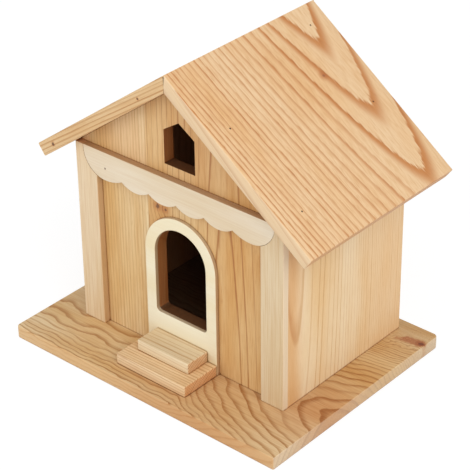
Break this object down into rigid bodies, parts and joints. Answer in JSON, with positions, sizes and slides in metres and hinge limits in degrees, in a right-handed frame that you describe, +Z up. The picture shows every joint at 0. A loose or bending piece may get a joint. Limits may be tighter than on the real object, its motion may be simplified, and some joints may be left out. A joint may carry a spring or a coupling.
{
  "type": "parrot nest box",
  "caption": "House-shaped pine nest box for small parrots, with a pitched roof, arched doorway, gable window, scalloped fascia, corner posts, steps and a broad base board.",
  "frame": {"origin": "middle of the part's footprint, on the underside of the base board", "axes": "+Z up; the front with the doorway and steps faces -Y; +X is to the right seen from the front"},
  "size_m": [0.2622, 0.203, 0.2522],
  "materials": {
    "base_pine": "sanded, unfinished",
    "front_left_pine": "sanded, unfinished",
    "front_right_pine": "sanded, unfinished",
    "back_pine": "sanded, unfinished",
    "left_side_pine": "sanded, unfinished",
    "right_side_pine": "sanded, unfinished",
    "left_roof_pine": "sanded, unfinished",
    "right_roof_pine": "sanded, unfinished",
    "left_post_wood": "sanded, unfinished",
    "right_post_wood": "sanded, unfinished",
    "fascia_wood": "sanded, unfinished",
    "surround_ply": "sanded, unfinished",
    "lower_step_pine": "sanded, unfinished",
    "upper_step_pine": "sanded, unfinished"
  },
  "bodies": {
    "root": {"base_board": "base_pine", "front_wall_left_board": "front_left_pine", "front_wall_right_board": "front_right_pine", "back_wall": "back_pine", "left_wall": "left_side_pine", "right_wall": "right_side_pine", "left_roof_board": "left_roof_pine", "right_roof_board": "right_roof_pine", "left_corner_post": "left_post_wood", "right_corner_post": "right_post_wood", "scalloped_fascia": "fascia_wood", "door_surround": "surround_ply", "lower_step": "lower_step_pine", "upper_step": "upper_step_pine"}
  },
  "joints": []
}
